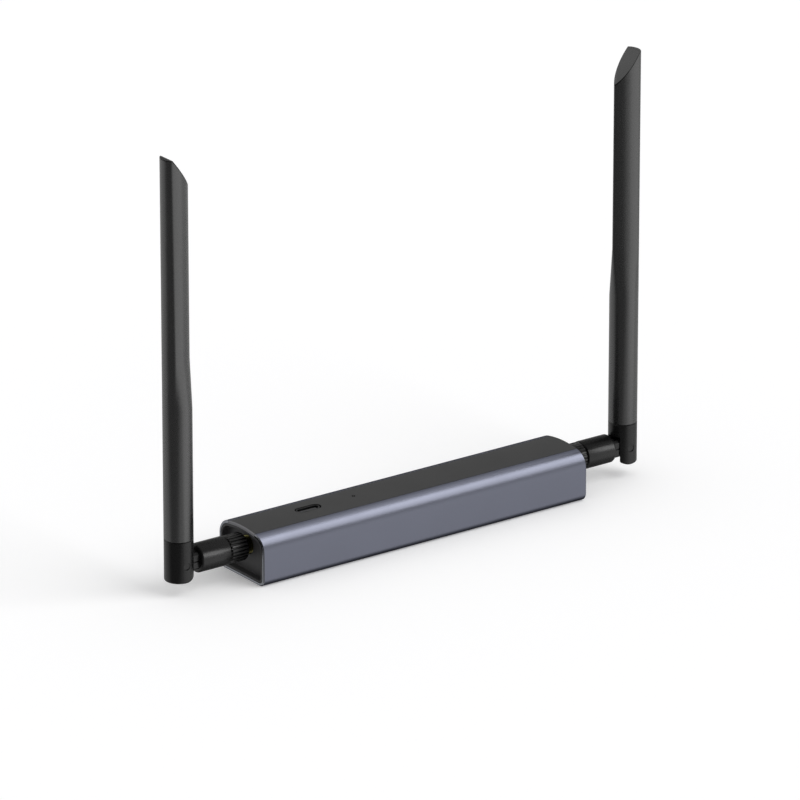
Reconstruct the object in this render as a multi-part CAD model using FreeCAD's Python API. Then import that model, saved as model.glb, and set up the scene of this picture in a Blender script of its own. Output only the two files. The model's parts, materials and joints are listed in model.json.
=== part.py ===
"""Radio gateway in an aluminium sleeve, with a folding antenna on each end.

Millimetres. X runs along the case, -Y is the front, +Z is up. The origin is the middle of the
case's flat underside.
"""
import os
import math

import FreeCAD
import Part

# Case
case_length = 134.8
case_depth = 26.0
case_height = 18.3
crown_radius = 44.0
corner_radius = 5.5
foot_radius = 2.8
wall = 1.0
rim_chamfer = 0.3

# Top cover, which closes the sleeve's open top
cover_width = 15.2
cover_thickness = 1.0
cover_gap = 0.1
ledge_width = 1.2
ledge_thickness = 0.9
web_width = 1.2
clip_count = 5
clip_length = 6.0
clip_spacing = 25.0
clip_thickness = 0.9
clip_hook = 0.5

# End caps
cap_gap = 0.1
cap_lip = 0.8
cap_recess = 2.5
cap_plate = 1.5
cap_skirt = 2.5
cap_skirt_wall = 0.9

# Main board and the rails that hold it
board_thickness = 1.6
board_edge_gap = 0.15
board_face_gap = 0.1
rail_depth = 1.4
rail_thickness = 0.9

# Coaxial jacks at the ends, with their shared axis below the crown
connector_below_top = 7.2
thread_radius = 3.175
jack_hole_gap = 0.15
jack_flange = 6.4
jack_flange_thickness = 1.6
jack_flange_gap = 0.1
jack_mouth_radius = 2.3
jack_mouth_depth = 2.0
insulator_radius = 2.05
socket_radius = 0.635
socket_wall = 0.135
socket_depth = 2.6
tail_radius = 0.5
tail_length = 3.5
jack_leg = 1.0
jack_leg_length = 4.5

# Antenna plugs
plug_flange_radius = 3.05
plug_flange_thickness = 0.7
plug_neck_radius = 2.7
plug_neck_length = 8.7
plug_insulator_length = 5.0
plug_tube_gap = 0.03
plug_pin_reach = 2.0
plug_pin_gap = 0.04
bead_height = 0.4
bead_length = 0.8
bead_offset = 4.6
running_gap = 0.08
seat_gap = 0.1

# Coupling nuts
nut_radius = 4.9
nut_length = 6.8
nut_back = 0.8
nut_chamfer = 0.3
rib_count = 24
rib_depth = 0.45
rib_turn = 10.0
rib_crest_share = 0.45
rib_flank_share = 0.15
nut_barrel_gap = 0.3

# Elbows: the barrel on the plug and the tongue of the tilting joint
antenna_radius = 5.0
barrel_length = 12.0
barrel_round = 0.8
barrel_chamfer = 0.3
tongue_thickness = 6.2
tongue_height = 6.0
tongue_chamfer = 0.7
tongue_gap = 0.3
tongue_end_gap = 0.4
tongue_groove = 0.4
trunnion_radius = 1.2
trunnion_inset = 0.3
channel_width = 2.2
channel_floor = 0.9

# Antenna bases
base_foot = 6.0
base_foot_round = 0.6
base_top = 8.7
slot_roof = 4.3
swing_clearance = 0.2
spigot_radius = 3.9
spigot_length = 6.0
spigot_gap = 0.1
seam_chamfer = 0.2

# Antenna blades: round below, flattened above a transition, and cut off obliquely
round_length = 46.2
blend_length = 17.0
blade_tip = 133.7
face_offset = 1.5
blade_half_low = 4.0
blade_half_high = 3.6
nose_radius = 0.6
blade_corner_radius = 1.5
corner_parting = 12.0
corner_parting_end = 132.0
nose_parting = 36.0
tip_flat = 1.8
tip_cut_angle = 53.5
low_bore_length = 41.0
high_bore_radius = 2.4
bore_to_tip = 16.0

# Feed cables and radiators inside the antennas
cable_radius = 0.65
cable_bend = 4.0
cable_hole_gap = 0.2
cable_end = 40.5
radiator_tube_radius = 2.3
radiator_tube_wall = 0.3
radiator_tube_length = 26.0
radiator_tube_drop = 2.0
solder_gap = 0.02
whip_radius = 0.6
whip_length = 28.0

# USB socket in the cover, facing up; its place is from the left-hand end
usb_from_end = 27.3
usb_width = 8.94
usb_depth = 3.26
usb_wall = 0.3
usb_hole_gap = 0.6
usb_below_top = 0.2
usb_block_height = 2.6
usb_tongue_width = 6.6
usb_tongue_thickness = 0.7
usb_tongue_below = 0.4

# Status light; its place is from the left-hand end
light_from_end = 46.1
light_radius = 0.6
light_gap = 0.05
light_flange = 0.5
light_flange_thickness = 0.8
led_length = 1.6
led_width = 0.8
led_height = 0.6
led_gap = 0.2

# Electronics on the board; chip and regulator are placed from the left-hand end, the Zigbee
# module from the right-hand end and the Wi-Fi module from the middle
wifi_x = 4.0
wifi_length = 25.5
wifi_width = 18.0
zigbee_from_end = 29.4
zigbee_length = 20.0
zigbee_width = 15.0
module_thickness = 0.8
shield_margin = 1.2
shield_height = 2.4
shield_wall = 0.2
chip_from_end = 40.4
chip_size = 5.0
chip_height = 0.9
regulator_from_end = 15.4
regulator_length = 6.5
regulator_width = 3.5
regulator_height = 1.6

# How far a cutting solid runs past the face that it cuts
overcut = 1.0

# Places worked out from the sizes
half_length = case_length / 2
half_depth = case_depth / 2
cover_half = cover_width / 2
lining = max(wall, cover_thickness)
crown_centre_z = case_height - crown_radius
corner_centre_y = half_depth - corner_radius
corner_centre_z = crown_centre_z + math.sqrt((crown_radius - corner_radius) ** 2 - corner_centre_y ** 2)
crown_angle = math.atan2(corner_centre_y, corner_centre_z - crown_centre_z)

cap_inset = lining + cap_gap
cap_plate_outer_x = half_length - cap_recess
cap_plate_inner_x = cap_plate_outer_x - cap_plate
cap_inner_x = cap_plate_inner_x - cap_skirt

connector_height = case_height - connector_below_top
board_top_z = connector_height - tail_radius
board_bottom_z = board_top_z - board_thickness
jack_flange_outer_x = cap_plate_inner_x - jack_flange_gap
board_end_x = jack_flange_outer_x - jack_flange_thickness

usb_x = usb_from_end - half_length
light_x = light_from_end - half_length
chip_x = chip_from_end - half_length
regulator_x = regulator_from_end - half_length
zigbee_x = half_length - zigbee_from_end

nut_inner_x = half_length
nut_outer_x = nut_inner_x + nut_length
plug_flange_outer_x = nut_outer_x - nut_back - seat_gap
plug_flange_inner_x = plug_flange_outer_x - plug_flange_thickness
jack_end_x = plug_flange_inner_x - seat_gap
mating_x = jack_end_x - jack_mouth_depth
barrel_inner_x = nut_outer_x + nut_barrel_gap
barrel_outer_x = barrel_inner_x + barrel_length
plug_rear_x = plug_flange_outer_x + plug_neck_length
plug_insulator_end_x = mating_x + plug_insulator_length

slot_half = tongue_thickness / 2 + tongue_gap
slot_reach = tongue_height / 2 + tongue_end_gap
tongue_corner_reach = (tongue_height + tongue_thickness) / 2 - tongue_chamfer
slot_corner = slot_reach + slot_half - tongue_corner_reach - tongue_gap * math.sqrt(2)
hinge_x = barrel_outer_x + base_foot + swing_clearance
hinge_z = connector_height
seam_z = hinge_z + base_top
blade_top_z = seam_z + blade_tip


def vector(x, y, z):
    return FreeCAD.Vector(x, y, z)


def box(x0, x1, y0, y1, z0, z1):
    return Part.makeBox(x1 - x0, y1 - y0, z1 - z0, vector(x0, y0, z0))


def rod_x(radius, x0, x1):
    """Round bar along the connector axis of the right-hand side."""
    return Part.makeCylinder(radius, x1 - x0, vector(x0, 0, connector_height), vector(1, 0, 0))


def rod_z(radius, x, z0, z1):
    return Part.makeCylinder(radius, z1 - z0, vector(x, 0, z0), vector(0, 0, 1))


def arc_points(centre_y, centre_z, radius, start, end):
    """Start, middle and end of an arc in the case's section; angles from +Y towards +Z."""
    angles = (start, (start + end) / 2, end)
    return [vector(0, centre_y + radius * math.cos(a), centre_z + radius * math.sin(a)) for a in angles]


def case_section(inset):
    """Face of the case's outline in the YZ plane, moved inwards by inset."""
    top_radius = corner_radius - inset
    low_radius = foot_radius - inset
    crown = arc_points(0, crown_centre_z, crown_radius - inset,
                       math.pi / 2 + crown_angle, math.pi / 2 - crown_angle)
    top_right = arc_points(corner_centre_y, corner_centre_z, top_radius, math.pi / 2 - crown_angle, 0)
    low_y = half_depth - foot_radius
    low_right = arc_points(low_y, foot_radius, low_radius, 0, -math.pi / 2)
    low_left = arc_points(-low_y, foot_radius, low_radius, -math.pi / 2, -math.pi)
    top_left = arc_points(-corner_centre_y, corner_centre_z, top_radius, math.pi, math.pi / 2 + crown_angle)
    arcs = [crown, top_right, low_right, low_left, top_left]
    edges = []
    for arc, following in zip(arcs, arcs[1:] + arcs[:1]):
        edges.append(Part.Arc(*arc).toShape())
        if arc[2].distanceToPoint(following[0]) > 1e-6:
            edges.append(Part.LineSegment(arc[2], following[0]).toShape())
    return Part.Face(Part.Wire(Part.__sortEdges__(edges)))


def case_bar(inset, x0, x1):
    face = case_section(inset)
    face.translate(vector(x0, 0, 0))
    return face.extrude(vector(x1 - x0, 0, 0))


def shell_bar(inset, thickness, x0, x1):
    return case_bar(inset, x0, x1).cut(case_bar(inset + thickness, x0, x1))


def upright_slab(y0, y1, x0, x1):
    """Slab above the middle of the case's height, used to keep one strip of its top."""
    return box(x0, x1, y0, y1, case_height / 2, case_height * 2)


def tapered_case_bar(x_full, x_tapered):
    """Solid whose outline shrinks by the rim chamfer, for breaking the case's end edges."""
    full = case_section(0)
    full.translate(vector(x_full, 0, 0))
    small = case_section(rim_chamfer)
    small.translate(vector(x_tapered, 0, 0))
    return Part.makeLoft([full.OuterWire, small.OuterWire], True, True)


def chamfered_case_bar():
    """The case's whole outline, with both end edges broken."""
    inner = half_length - rim_chamfer
    middle = case_bar(0, -inner, inner)
    return middle.fuse([tapered_case_bar(inner, half_length), tapered_case_bar(-inner, -half_length)])


def sleeve():
    outline = chamfered_case_bar()
    ring = outline.cut(case_bar(wall, -half_length, half_length))
    ring = ring.cut(upright_slab(-cover_half, cover_half, -half_length, half_length))
    ledge_inset = cover_thickness
    ledge_stack = cover_thickness + ledge_thickness
    x0 = -cap_inner_x + cap_gap
    x1 = cap_inner_x - cap_gap
    added = []
    for side in (-1, 1):
        web_y = sorted((side * cover_half, side * (cover_half + web_width)))
        ledge_y = sorted((side * (cover_half - ledge_width), side * (cover_half + web_width)))
        web = case_bar(0, x0, x1).cut(case_bar(ledge_stack, x0, x1))
        added.append(web.common(upright_slab(web_y[0], web_y[1], x0, x1)))
        ledge = shell_bar(ledge_inset, ledge_thickness, x0, x1)
        added.append(ledge.common(upright_slab(ledge_y[0], ledge_y[1], x0, x1)))
        added.extend(board_rails(side, x0, x1))
    return ring.fuse(added).removeSplitter()


def board_rails(side, x0, x1):
    wall_y = half_depth - wall / 2
    rail_y = sorted((side * wall_y, side * (half_depth - wall - rail_depth)))
    upper_z = board_top_z + board_face_gap
    lower_z = board_bottom_z - board_face_gap
    upper = box(x0, x1, rail_y[0], rail_y[1], upper_z, upper_z + rail_thickness)
    lower = box(x0, x1, rail_y[0], rail_y[1], lower_z - rail_thickness, lower_z)
    return [upper, lower]


def cover_clip(side, x_middle):
    """Clip under the cover that hooks below the sleeve's ledge."""
    x0 = x_middle - clip_length / 2
    x1 = x_middle + clip_length / 2
    outer_y = cover_half - ledge_width - cover_gap
    hook_inset = cover_thickness + ledge_thickness + cover_gap
    leg_y = sorted((side * outer_y, side * (outer_y - clip_thickness)))
    hook_y = sorted((side * (outer_y + clip_hook), side * (outer_y - clip_thickness)))
    leg = shell_bar(cover_thickness / 2, hook_inset + clip_thickness - cover_thickness / 2, x0, x1)
    hook = shell_bar(hook_inset, clip_thickness, x0, x1)
    return [leg.common(upright_slab(leg_y[0], leg_y[1], x0, x1)),
            hook.common(upright_slab(hook_y[0], hook_y[1], x0, x1))]


def stadium(width, depth, x_middle, z0, z1):
    """Upright solid with a rounded-slot outline."""
    round_radius = depth / 2
    straight = width / 2 - round_radius
    parts = [box(x_middle - straight, x_middle + straight, -round_radius, round_radius, z0, z1)]
    for side in (-1, 1):
        parts.append(rod_z(round_radius, x_middle + side * straight, z0, z1))
    return parts[0].fuse(parts[1:]).removeSplitter()


def top_cover():
    edge = cover_half - cover_gap
    strip = chamfered_case_bar().cut(case_bar(cover_thickness, -half_length, half_length))
    strip = strip.common(upright_slab(-edge, edge, -half_length, half_length))
    clips = []
    for index in range(clip_count):
        x_middle = (index - (clip_count - 1) / 2) * clip_spacing
        for side in (-1, 1):
            clips.extend(cover_clip(side, x_middle))
    cover = strip.fuse(clips)
    slot_width = usb_width + 2 * usb_hole_gap
    slot_depth = usb_depth + 2 * usb_hole_gap
    slot = stadium(slot_width, slot_depth, usb_x, board_top_z, case_height + overcut)
    hole = rod_z(light_radius + light_gap, light_x, board_top_z, case_height + overcut)
    return cover.cut([slot, hole]).removeSplitter()


def end_cap():
    body = case_bar(cap_inset, cap_inner_x, half_length)
    recess = case_bar(cap_inset + cap_lip, cap_plate_outer_x, half_length)
    cavity = case_bar(cap_inset + cap_skirt_wall, cap_inner_x, cap_plate_inner_x)
    board_slot = box(cap_inner_x, cap_plate_inner_x, -half_depth, half_depth,
                     board_bottom_z - board_face_gap, board_top_z + board_face_gap)
    hole = rod_x(thread_radius + jack_hole_gap, cap_inner_x, half_length)
    return body.cut([recess, cavity, board_slot, hole])


def main_board():
    edge = half_depth - wall - board_edge_gap
    return box(-board_end_x, board_end_x, -edge, edge, board_bottom_z, board_top_z)


def jack_body():
    half = jack_flange / 2
    flange = box(board_end_x, jack_flange_outer_x, -half, half,
                 connector_height - half, connector_height + half)
    barrel = rod_x(thread_radius, board_end_x, jack_end_x)
    legs = []
    for side in (-1, 1):
        leg_y = sorted((side * half, side * (half - jack_leg)))
        x0 = board_end_x - jack_leg_length
        legs.append(box(x0, board_end_x, leg_y[0], leg_y[1], board_top_z, board_top_z + jack_leg))
        legs.append(box(x0, board_end_x, leg_y[0], leg_y[1], board_bottom_z - jack_leg, board_bottom_z))
    body = flange.fuse([barrel] + legs)
    mouth = rod_x(jack_mouth_radius, mating_x, jack_end_x)
    bore = rod_x(insulator_radius, board_end_x, mating_x)
    return body.cut([mouth, bore]).removeSplitter()


def jack_insulator():
    return rod_x(insulator_radius, board_end_x, mating_x).cut(rod_x(socket_radius, board_end_x, mating_x))


def jack_contact():
    body = rod_x(socket_radius, board_end_x, mating_x)
    tail = rod_x(tail_radius, board_end_x - tail_length, board_end_x)
    socket = rod_x(socket_radius - socket_wall, mating_x - socket_depth, mating_x)
    return body.fuse(tail).cut(socket).removeSplitter()


def plug_body():
    tube_radius = jack_mouth_radius - plug_tube_gap
    tube = rod_x(tube_radius, mating_x, plug_flange_inner_x)
    flange = rod_x(plug_flange_radius, plug_flange_inner_x, plug_flange_outer_x)
    neck = rod_x(plug_neck_radius, plug_flange_outer_x, plug_rear_x)
    bead_x = plug_flange_outer_x + bead_offset
    bead = rod_x(plug_neck_radius + bead_height, bead_x, bead_x + bead_length)
    body = tube.fuse([flange, neck, bead])
    front_bore = rod_x(insulator_radius, mating_x, plug_insulator_end_x)
    cable_bore = rod_x(cable_radius + solder_gap, plug_insulator_end_x, plug_rear_x)
    return body.cut([front_bore, cable_bore]).removeSplitter()


def plug_insulator():
    pin_radius = socket_radius - socket_wall - plug_pin_gap
    outer = rod_x(insulator_radius, mating_x, plug_insulator_end_x)
    return outer.cut(rod_x(pin_radius, mating_x, plug_insulator_end_x))


def plug_pin():
    pin_radius = socket_radius - socket_wall - plug_pin_gap
    return rod_x(pin_radius, mating_x - plug_pin_reach, plug_insulator_end_x)


def ribbed_disc_wire(x):
    """Outline of the knurled nut: flat-topped ribs along the axis."""
    root_radius = nut_radius - rib_depth
    root_start = rib_crest_share + rib_flank_share
    corners = [(0.0, nut_radius), (rib_crest_share, nut_radius),
               (root_start, root_radius), (1.0 - rib_flank_share, root_radius)]
    points = []
    for index in range(rib_count):
        for share, radius in corners:
            angle = math.radians(rib_turn) + 2 * math.pi * (index + share) / rib_count
            points.append(vector(x, radius * math.cos(angle), connector_height + radius * math.sin(angle)))
    return Part.makePolygon(points + points[:1])


def coupling_nut():
    ribbed = Part.Face(ribbed_disc_wire(nut_inner_x)).extrude(vector(nut_length, 0, 0))
    chamfered = rod_x(nut_radius, nut_inner_x, nut_outer_x)
    chamfered = chamfered.makeChamfer(nut_chamfer, [edge for edge in chamfered.Edges if edge.isClosed()])
    bore = rod_x(thread_radius + running_gap, nut_inner_x, nut_outer_x - nut_back)
    back_bore = rod_x(plug_neck_radius + running_gap, nut_inner_x, nut_outer_x)
    return ribbed.common(chamfered).cut([bore, back_bore]).removeSplitter()


def barrel_blank():
    """Outside of the elbow's barrel, rounded at its outer end and chamfered at its inner end."""
    profile = [vector(barrel_inner_x, 0, 0),
               vector(barrel_inner_x, 0, antenna_radius - barrel_chamfer),
               vector(barrel_inner_x + barrel_chamfer, 0, antenna_radius),
               vector(barrel_outer_x - barrel_round, 0, antenna_radius)]
    slant = math.radians(45)
    middle = vector(barrel_outer_x - barrel_round * (1 - math.sin(slant)), 0,
                    antenna_radius - barrel_round * (1 - math.cos(slant)))
    end = vector(barrel_outer_x, 0, antenna_radius - barrel_round)
    axis_end = vector(barrel_outer_x, 0, 0)
    edges = [Part.LineSegment(a, b).toShape() for a, b in zip(profile, profile[1:])]
    edges.append(Part.Arc(profile[-1], middle, end).toShape())
    edges.append(Part.LineSegment(end, axis_end).toShape())
    edges.append(Part.LineSegment(axis_end, profile[0]).toShape())
    solid = Part.Face(Part.Wire(edges)).revolve(vector(0, 0, 0), vector(1, 0, 0), 360)
    solid.translate(vector(0, 0, connector_height))
    return solid


def elbow_tongue():
    """Flat arm with broken edges that ends in a round knuckle on the hinge's axis."""
    half_y = tongue_thickness / 2
    half_z = tongue_height / 2
    arm = box(barrel_outer_x - barrel_round, hinge_x, -half_y, half_y, hinge_z - half_z, hinge_z + half_z)
    long_edges = [edge for edge in arm.Edges if edge.BoundBox.XLength > tongue_thickness / 2
                  and edge.BoundBox.YLength < tongue_chamfer and edge.BoundBox.ZLength < tongue_chamfer]
    arm = arm.makeChamfer(tongue_chamfer, long_edges)
    knuckle = Part.makeCylinder(half_z, tongue_thickness, vector(hinge_x, -half_y, hinge_z), vector(0, 1, 0))
    knuckle = knuckle.makeChamfer(tongue_chamfer, [edge for edge in knuckle.Edges if edge.isClosed()])
    return arm.fuse(knuckle)


def cable_channel():
    """Hollow through the barrel and the tongue, open upwards and outwards at the knuckle."""
    half_y = channel_width / 2
    bore = rod_x(half_y, plug_rear_x, hinge_x)
    mouth = box(hinge_x - cable_bend, hinge_x + tongue_height, -half_y, half_y,
                hinge_z - channel_floor, hinge_z + tongue_height)
    return [bore, mouth]


def elbow():
    trunnion_half = antenna_radius - trunnion_inset
    trunnions = Part.makeCylinder(trunnion_radius, 2 * trunnion_half,
                                  vector(hinge_x, -trunnion_half, hinge_z), vector(0, 1, 0))
    solid = barrel_blank().fuse([elbow_tongue(), trunnions])
    bore = rod_x(plug_neck_radius + running_gap, barrel_inner_x, plug_rear_x + seat_gap)
    bead_x = plug_flange_outer_x + bead_offset
    groove = rod_x(plug_neck_radius + bead_height + running_gap, bead_x - running_gap,
                   bead_x + bead_length + running_gap)
    return solid.cut([bore, groove] + cable_channel() + tongue_slits()).removeSplitter()


def tongue_slits():
    """Shallow groove at mid-height along both faces of the tongue."""
    slits = []
    x1 = hinge_x - trunnion_radius - tongue_groove
    for side in (-1, 1):
        face_y = side * tongue_thickness / 2
        slit_y = sorted((face_y, face_y - side * tongue_groove))
        slits.append(box(barrel_outer_x, x1, slit_y[0], slit_y[1],
                         hinge_z - tongue_groove / 2, hinge_z + tongue_groove / 2))
    return slits


def base_post():
    """Outside of the base; its inward lower quarter keeps within a circle about the hinge, for the tilt."""
    bottom_z = hinge_z - base_foot
    post = rod_z(antenna_radius, hinge_x, bottom_z, seam_z)
    swing_circle = Part.makeCylinder(base_foot, 4 * antenna_radius,
                                     vector(hinge_x, -2 * antenna_radius, hinge_z), vector(0, 1, 0))
    quarter = box(hinge_x - 2 * antenna_radius, hinge_x, -2 * antenna_radius, 2 * antenna_radius,
                  bottom_z - overcut, hinge_z)
    post = post.cut(quarter.cut(swing_circle))
    foot_edges = [edge for edge in post.Edges if edge.BoundBox.ZMin < bottom_z + 1e-3
                  and edge.BoundBox.ZMax < hinge_z and edge.BoundBox.XLength > antenna_radius / 2]
    post = post.makeFillet(base_foot_round, foot_edges)
    top_edges = [edge for edge in post.Edges if edge.isClosed() and abs(edge.BoundBox.ZMin - seam_z) < 1e-6]
    return post.makeChamfer(seam_chamfer, top_edges)


def tongue_slot():
    """Space for the tongue, open inwards and downwards, with broken corners at its outer end."""
    inner_x = hinge_x - 2 * antenna_radius
    outer_x = hinge_x + slot_reach
    bottom_z = hinge_z - base_foot - overcut
    outline = [(inner_x, -slot_half), (outer_x - slot_corner, -slot_half), (outer_x, slot_corner - slot_half),
               (outer_x, slot_half - slot_corner), (outer_x - slot_corner, slot_half), (inner_x, slot_half)]
    points = [vector(x, y, bottom_z) for x, y in outline]
    face = Part.Face(Part.makePolygon(points + points[:1]))
    return face.extrude(vector(0, 0, hinge_z + slot_roof - bottom_z))


def hinge_base():
    spigot = rod_z(spigot_radius, hinge_x, seam_z - spigot_radius, seam_z + spigot_length)
    hole = Part.makeCylinder(trunnion_radius + running_gap, 4 * antenna_radius,
                             vector(hinge_x, -2 * antenna_radius, hinge_z), vector(0, 1, 0))
    cable_hole = rod_z(cable_radius + cable_hole_gap, hinge_x, hinge_z, seam_z + spigot_length)
    return base_post().fuse(spigot).cut([tongue_slot(), hole, cable_hole]).removeSplitter()


def on_circle(radius, degrees, centre=(0.0, 0.0)):
    angle = math.radians(degrees)
    return (centre[0] + radius * math.cos(angle), centre[1] + radius * math.sin(angle))


def direction(start, end):
    """Angle in degrees of the line from start to end."""
    return math.degrees(math.atan2(end[1] - start[1], end[0] - start[0])) % 360


def blade_arc(z, centre, radius, start, end):
    """Arc of the blade's outline; points are (inward, frontward) from the antenna's axis."""
    points = [on_circle(radius, angle, centre) for angle in (start, (start + end) / 2, end)]
    return Part.Arc(*[vector(hinge_x - u, -v, z) for u, v in points]).toShape()


def blade_outline(z, arcs):
    """Closed wire from the arcs of the front half, each (centre, radius, start, end), and their mirror."""
    edges = [blade_arc(z, *arc) for arc in arcs]
    for centre, radius, start, end in reversed(arcs[1:-1]):
        edges.append(blade_arc(z, (centre[0], -centre[1]), radius, -end, -start))
    return Part.Wire(edges)


def round_section(z):
    """Circular outline, parted into as many arcs as the flattened one."""
    centre = (0.0, 0.0)
    corner_start = corner_parting_end + corner_parting
    return blade_outline(z, [(centre, antenna_radius, 360 - corner_start, corner_start),
                             (centre, antenna_radius, corner_start, corner_parting_end),
                             (centre, antenna_radius, corner_parting_end, nose_parting),
                             (centre, antenna_radius, nose_parting, -nose_parting)])


def flat_section(z, half_thickness):
    """Outline with a round outer edge, a gently curved front and back, and a narrow nose."""
    nose = (antenna_radius - nose_radius, 0.0)
    reach = nose[0] + face_offset
    face_radius = (reach ** 2 + half_thickness ** 2 - nose_radius ** 2) / (2 * (half_thickness - nose_radius))
    face = (-face_offset, half_thickness - face_radius)
    corner = corner_centre(face, face_radius)
    outer_angle = direction((0.0, 0.0), corner)
    face_start = direction(face, corner)
    face_end = direction(face, nose)
    face_end = face_end - 360 if face_end > 180 else face_end
    return blade_outline(z, [((0.0, 0.0), antenna_radius, 360 - outer_angle, outer_angle),
                             (corner, blade_corner_radius, outer_angle, face_start),
                             (face, face_radius, face_start, face_end),
                             (nose, nose_radius, face_end, -face_end)])


def corner_centre(face, face_radius):
    """Centre of the arc that blends the round outer edge into the front face."""
    to_axis = antenna_radius - blade_corner_radius
    to_face = face_radius - blade_corner_radius
    distance = math.hypot(*face)
    cosine = (to_axis ** 2 + distance ** 2 - to_face ** 2) / (2 * to_axis * distance)
    angle = direction((0.0, 0.0), face) - math.degrees(math.acos(cosine))
    return on_circle(to_axis, angle)


def blade():
    blend_z = seam_z + round_length
    flat_z = blend_z + blend_length
    base = rod_z(antenna_radius, hinge_x, seam_z, blend_z)
    seam_edges = [e for e in base.Edges if e.isClosed() and abs(e.BoundBox.ZMax - seam_z) < 1e-6]
    base = base.makeChamfer(seam_chamfer, seam_edges)
    blend = Part.makeLoft([round_section(blend_z), flat_section(flat_z, blade_half_low)], True, True)
    upper = Part.makeLoft([flat_section(flat_z, blade_half_low),
                           flat_section(blade_top_z, blade_half_high)], True, True)
    low_bore = rod_z(spigot_radius + spigot_gap, hinge_x, seam_z, seam_z + low_bore_length)
    high_bore = rod_z(high_bore_radius, hinge_x, seam_z, blade_top_z - bore_to_tip)
    body = base.fuse([blend, upper])
    return body.cut([low_bore, high_bore, tip_cutter()]).removeSplitter()


def tip_cutter():
    """Wedge that leaves a small level flat on the outer side and cuts the rest obliquely."""
    flat_edge_x = hinge_x + antenna_radius - tip_flat
    far_x = hinge_x - 2 * antenna_radius
    drop = (flat_edge_x - far_x) * math.tan(math.radians(tip_cut_angle))
    corners = [vector(flat_edge_x, 0, blade_top_z), vector(far_x, 0, blade_top_z - drop),
               vector(far_x, 0, blade_top_z)]
    wedge = Part.Face(Part.makePolygon(corners + corners[:1]))
    wedge.translate(vector(0, -2 * antenna_radius, 0))
    return wedge.extrude(vector(0, 4 * antenna_radius, 0))


def feed_cable():
    """Cable from the plug through the hinge, bent upwards to the radiator."""
    start = vector(plug_insulator_end_x, 0, connector_height)
    bend_start = vector(hinge_x - cable_bend, 0, connector_height)
    bend_end = vector(hinge_x, 0, connector_height + cable_bend)
    share = math.sin(math.radians(45))
    bend_middle = vector(hinge_x - cable_bend * (1 - share), 0, connector_height + cable_bend * (1 - share))
    end = vector(hinge_x, 0, seam_z + cable_end)
    path = Part.Wire([Part.LineSegment(start, bend_start).toShape(),
                      Part.Arc(bend_start, bend_middle, bend_end).toShape(),
                      Part.LineSegment(bend_end, end).toShape()])
    section = Part.Wire([Part.makeCircle(cable_radius, start, vector(1, 0, 0))])
    return path.makePipeShell([section], True, True)


def radiator_tube():
    """Lower half of the radiator: a tube round the cable, closed at its top."""
    top_z = seam_z + cable_end - radiator_tube_drop
    bottom_z = top_z - radiator_tube_length
    tube = rod_z(radiator_tube_radius, hinge_x, bottom_z, top_z)
    hollow = rod_z(radiator_tube_radius - radiator_tube_wall, hinge_x, bottom_z, top_z - radiator_tube_wall)
    hole = rod_z(cable_radius + solder_gap, hinge_x, bottom_z, top_z)
    return tube.cut([hollow, hole])


def radiator_whip():
    bottom_z = seam_z + cable_end
    return rod_z(whip_radius, hinge_x, bottom_z, bottom_z + whip_length)


def usb_shell():
    top_z = case_height - usb_below_top
    outside = stadium(usb_width, usb_depth, usb_x, board_top_z, top_z)
    inside = stadium(usb_width - 2 * usb_wall, usb_depth - 2 * usb_wall, usb_x, board_top_z, top_z)
    return outside.cut(inside)


def usb_insert():
    block_top_z = board_top_z + usb_block_height
    block = stadium(usb_width - 2 * usb_wall, usb_depth - 2 * usb_wall, usb_x, board_top_z, block_top_z)
    tongue = box(usb_x - usb_tongue_width / 2, usb_x + usb_tongue_width / 2,
                 -usb_tongue_thickness / 2, usb_tongue_thickness / 2,
                 board_top_z, case_height - usb_below_top - usb_tongue_below)
    return block.fuse(tongue).removeSplitter()


def status_led():
    return box(light_x - led_length / 2, light_x + led_length / 2, -led_width / 2, led_width / 2,
               board_top_z, board_top_z + led_height)


def light_pipe():
    """Clear rod from just above the LED to the cover, with a flange under the cover."""
    flange_top_z = case_height - cover_thickness
    rod = rod_z(light_radius, light_x, board_top_z + led_height + led_gap, case_height)
    flange = rod_z(light_radius + light_flange, light_x, flange_top_z - light_flange_thickness, flange_top_z)
    rod = rod.common(case_bar(0, -half_length, half_length))
    flange = flange.common(case_bar(cover_thickness, -half_length, half_length))
    return rod.fuse(flange).removeSplitter()


def module_board(x_middle, length, width):
    return box(x_middle - length / 2, x_middle + length / 2, -width / 2, width / 2,
               board_top_z, board_top_z + module_thickness)


def module_shield(x_middle, length, width):
    """Folded can over a module, open below."""
    half_x = length / 2 - shield_margin
    half_y = width / 2 - shield_margin
    z0 = board_top_z + module_thickness
    z1 = z0 + shield_height
    can = box(x_middle - half_x, x_middle + half_x, -half_y, half_y, z0, z1)
    inner_x = half_x - shield_wall
    inner_y = half_y - shield_wall
    return can.cut(box(x_middle - inner_x, x_middle + inner_x, -inner_y, inner_y, z0, z1 - shield_wall))


def usb_serial_chip():
    half = chip_size / 2
    return box(chip_x - half, chip_x + half, -half, half, board_top_z, board_top_z + chip_height)


def voltage_regulator():
    half_x = regulator_length / 2
    half_y = regulator_width / 2
    return box(regulator_x - half_x, regulator_x + half_x, -half_y, half_y,
               board_top_z, board_top_z + regulator_height)


def half_turned(shape):
    """The same piece turned half round about the upright axis, for the left-hand end."""
    turned = shape.copy()
    turned.rotate(vector(0, 0, 0), vector(0, 0, 1), 180)
    return turned


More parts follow.
